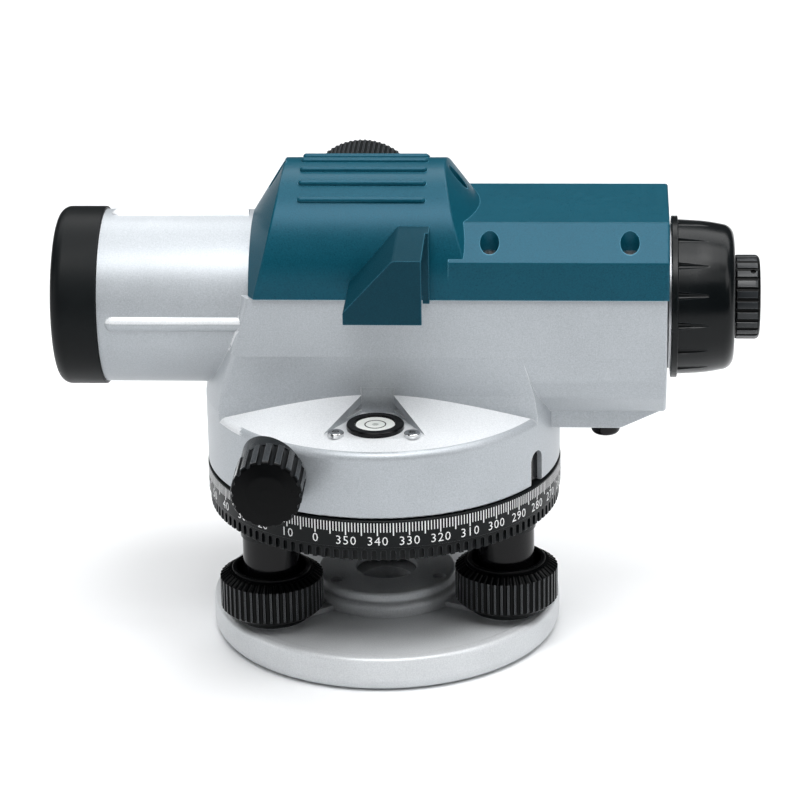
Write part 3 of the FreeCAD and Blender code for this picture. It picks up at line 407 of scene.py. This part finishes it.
def make_glasses():
    glass("glass", (0.93, 0.97, 0.95), coat=0.6)
    glass("bubble_glass", (0.95, 0.97, 0.96), coat=0.4)


def make_added_finishes():
    """White ink for the graduations, and the bubble's pale dish and dark target circle."""
    printed("white_marks", dark=(0.72, 0.73, 0.74), light=(0.88, 0.88, 0.88))
    plastic("bubble_dish", (0.80, 0.83, 0.80), rough=0.35, grain=900.0, depth=0.00001)
    plastic("bubble_ink", (0.03, 0.03, 0.03), rough=0.4, grain=900.0, depth=0.00001)


# ---------------------------------------------------------------- finishes, painted highlight and painted shade on the CAD nodes

# Nodes that differ from the finish of the record's slot
FINISHES = {
    "base_plate": "silver_bright",
    "spring_plate": "silver_bright",
    "tribrach_body": "black_satin",
    "footscrew_sleeves": "black_gloss",
    # The ribbed knobs get a darker black: painted shade in their grooves.
    "footscrew_knob_1": "knob_black_painted_shade",
    "footscrew_knob_2": "knob_black_painted_shade",
    "footscrew_knob_3": "knob_black_painted_shade",
    "tangent_bushes": "black_satin",
    "tangent_knob_left": "knob_black_painted_shade",
    "tangent_knob_right": "knob_black_painted_shade",
    "circle_index": "black_gloss",
    "bubble_cup": "black_gloss",
    "lock_button": "black_gloss",
    "mirror_hood": "blue_dark",
    "focus_bush": "steel",
    "eyepiece_ring": "knob_black_painted_shade",
    "eyepiece_cover": "black_satin",
}

# Ribbed knobs, whose rib tops get painted highlight: node, its axis, and how far below its widest reach a
# rib's top goes, millimetres
RIBBED = (
    ("footscrew_knob_1", Z, 0.10),
    ("footscrew_knob_2", Z, 0.10),
    ("footscrew_knob_3", Z, 0.10),
    ("tangent_knob_left", Y, 0.15),
    ("tangent_knob_right", Y, 0.15),
    ("focus_knob", Y, 0.15),
    ("eyepiece_ring", X, 0.15),
)
# A face counts as a knob's end when its normal goes further than this along the knob's axis
KNOB_END = 0.5

# Where the painted highlight goes on the housing, its platform and the ribs on its tube: places in
# millimetres, and how far a face looks up
PLATFORM_Z = (78.0, 90.0)
PLATFORM_LEVEL = 0.955
TUBE_END_X = -41.0
TUBE_RIB_REACH = 26.75
TUBE_RIB_LEVEL = 0.2


def knob_middle(mesh, across):
    """Where a knob's axis passes, on the two directions across it, millimetres."""
    middle = []
    for i in across:
        values = [v.co[i] / MM for v in mesh.vertices]
        middle.append((min(values) + max(values)) / 2)
    return middle


def polish_ribs(name, axis, skin):
    """Painted highlight on a knob's rib tops: a lighter black on its outermost faces, apart from its ends.
    """
    mesh = NODES[name].data
    mesh.materials.append(MATERIALS["rib_black_painted_highlight"])
    first, second = [i for i in range(3) if i != axis]
    middle = knob_middle(mesh, (first, second))

    def reach(point):
        return math.hypot(point[first] / MM - middle[0], point[second] / MM - middle[1])

    limit = max(reach(v.co) for v in mesh.vertices) - skin
    for polygon in mesh.polygons:
        if reach(polygon.center) > limit and abs(polygon.normal[axis]) < KNOB_END:
            polygon.material_index = 1


def lighten_housing():
    """Painted highlight: a lighter copy of the silver paint on the housing's platform and on the upper
    sides of the tube's ribs.
    """
    mesh = NODES["main_housing"].data
    mesh.materials.append(MATERIALS["silver_painted_highlight"])
    low, high = node_box("objective_lens")
    sight_z = (low.z + high.z) / 2
    for polygon in mesh.polygons:
        x, y, z = polygon.center / MM
        upward = polygon.normal.z
        platform = PLATFORM_Z[0] < z < PLATFORM_Z[1] and upward > PLATFORM_LEVEL
        outside_tube = math.hypot(y, z - sight_z) > TUBE_RIB_REACH
        rib = x < TUBE_END_X and outside_tube and upward > TUBE_RIB_LEVEL
        if platform or rib:
            polygon.material_index = 1


# The record's finishes and those in FINISHES, which give the knobs painted shade, then painted highlight on
# the knobs' rib tops and on the housing's upper faces.
def finish_nodes():
    for part in frame["record"]["subparts"]:
        name = part["node"]
        slots = NODES[name].data.materials
        slots.clear()
        slots.append(MATERIALS[FINISHES.get(name, part["material_slot"])])
    for name, axis, skin in RIBBED:
        polish_ribs(name, axis, skin)
    lighten_housing()


# ---------------------------------------------------------------- graduations on the circle

# Millimetres, from the circle's own wall and upper rim
CIRCLE_LOW, CIRCLE_HIGH = node_box("graduated_circle")
CIRCLE_R = CIRCLE_HIGH.x
MARK_OUT = CIRCLE_R + 0.04
MARK_IN = CIRCLE_R - 0.2
MARK_TOP = CIRCLE_HIGH.z - 0.7
NUMERAL_Z = CIRCLE_LOW.z + 6.75
NUMERAL_HEIGHT = 2.75
# The plain font's outlines are moved in by this much of its size, and its figures spaced out
NUMERAL_THINNING = -0.008
NUMERAL_SPACING = 1.12
LONG_MARK = (0.36, 4.1)
SHORT_MARK = (0.28, 3.0)
LONG_MARK_EVERY = 5
NUMERAL_EVERY = 10
# The reading that faces the instrument's side, degrees
READING = 341.2
# A block's faces over its corners, which are numbered height first, then side, then depth
BLOCK_FACES = ((0, 1, 3, 2), (4, 6, 7, 5), (0, 4, 5, 1), (2, 3, 7, 6), (1, 5, 7, 3), (0, 2, 6, 4))


def add_piece(name, body, finish, vertices, faces):
    """A piece of the object, from millimetre vertices, riding one body."""
    mesh = bpy.data.meshes.new(name)
    mesh.from_pydata([tuple(c * MM for c in v) for v in vertices], [], faces)
    mesh.validate()
    mesh.materials.append(MATERIALS[finish])
    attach(add_object(name, mesh), body)


def circle_angle(value):
    """Where a reading sits on the circle, radians about the vertical axis."""
    return math.radians(READING - value - 90.0)


def on_circle(radius, angle, z):
    return (radius * math.cos(angle), radius * math.sin(angle), z)


def add_tick(vertices, faces, value, width, length):
    """A closed block across the wall, from the top edge down."""
    start = len(vertices)
    half = width / 2 / CIRCLE_R
    angle = circle_angle(value)
    for z in (MARK_TOP - length, MARK_TOP):
        for side in (-half, half):
            for radius in (MARK_IN, MARK_OUT):
                vertices.append(on_circle(radius, angle + side, z))
    for face in BLOCK_FACES:
        faces.append(tuple(start + i for i in face))


def numeral_mesh(text):
    """A number in plain figures, as a flat extruded mesh: its points and its polygons."""
    curve = bpy.data.curves.new("numeral", "FONT")
    curve.body = text
    curve.align_x = "CENTER"
    curve.size = 1.0
    curve.offset = NUMERAL_THINNING
    curve.extrude = 0.5
    curve.resolution_u = 2
    curve.space_character = NUMERAL_SPACING
    holder = add_object("numeral", curve)
    bpy.context.view_layer.update()
    graph = bpy.context.evaluated_depsgraph_get()
    mesh = bpy.data.meshes.new_from_object(holder.evaluated_get(graph))
    points = [tuple(v.co) for v in mesh.vertices]
    polygons = [tuple(p.vertices) for p in mesh.polygons]
    bpy.data.objects.remove(holder)
    bpy.data.curves.remove(curve)
    bpy.data.meshes.remove(mesh)
    return points, polygons


def add_numeral(vertices, faces, value):
    """A reading's figures, bent round the circle's wall."""
    points, polygons = numeral_mesh(str(value))
    low = min(p[1] for p in points)
    high = max(p[1] for p in points)
    scale = NUMERAL_HEIGHT / (high - low)
    start = len(vertices)
    for x, y, depth in points:
        radius = MARK_OUT if depth > 0 else MARK_IN
        z = NUMERAL_Z + (y - (low + high) / 2) * scale
        vertices.append(on_circle(radius, circle_angle(value) + x * scale / CIRCLE_R, z))
    for polygon in polygons:
        faces.append(tuple(start + i for i in polygon))


def make_graduations():
    """A mark for each degree, longer at each fifth, and a figure at each tenth."""
    vertices = []
    faces = []
    for value in range(360):
        mark = SHORT_MARK if value % LONG_MARK_EVERY else LONG_MARK
        add_tick(vertices, faces, value, *mark)
    for value in range(0, 360, NUMERAL_EVERY):
        add_numeral(vertices, faces, value)
    add_piece("circle_graduations", "circle", "white_marks", vertices, faces)


# ---------------------------------------------------------------- the bubble

WASHER_SIDES = 64
# Millimetres; the dish, with a pinhole, lies just under the vial's upper face, and the target on that face
DISH_MARGIN = 0.2
DISH_HOLE_R = 0.05
DISH_DEPTH = 0.18
DISH_THICKNESS = 0.16
TARGET_R = 3.3
TARGET_LINE = 0.35
TARGET_THICKNESS = 0.05


def washer(centre, outer, inner, thickness):
    """A flat washer on its centre: its vertices and faces."""
    vertices = []
    faces = []
    for z in (centre.z, centre.z + thickness):
        for radius in (outer, inner):
            for i in range(WASHER_SIDES):
                turn = 2 * math.pi * i / WASHER_SIDES
                vertices.append((centre.x + radius * math.cos(turn), centre.y + radius * math.sin(turn), z))
    for i in range(WASHER_SIDES):
        j = (i + 1) % WASHER_SIDES
        for a, b in ((0, 1), (1, 3), (3, 2), (2, 0)):
            low = a * WASHER_SIDES
            high = b * WASHER_SIDES
            faces.append((low + j, low + i, high + i, high + j))
    return vertices, faces


def make_bubble():
    """The pale dish inside the bubble's vial, and the target circle on the vial."""
    low, high = node_box("bubble_vial")
    top = Vector(((low.x + high.x) / 2, (low.y + high.y) / 2, high.z))
    dish_r = (high.x - low.x) / 2 - DISH_MARGIN
    dish = washer(top - Vector((0, 0, DISH_DEPTH)), dish_r, DISH_HOLE_R, DISH_THICKNESS)
    target = washer(top, TARGET_R, TARGET_R - TARGET_LINE, TARGET_THICKNESS)
    add_piece("bubble_dish", "head", "bubble_dish", *dish)
    add_piece("bubble_target", "head", "bubble_ink", *target)


# ---------------------------------------------------------------- the scene

make_paints()
make_blacks()
make_metals()
make_glasses()
make_added_finishes()
finish_nodes()
make_graduations()
make_bubble()
make_camera()
make_lights()
make_world()
make_floor()
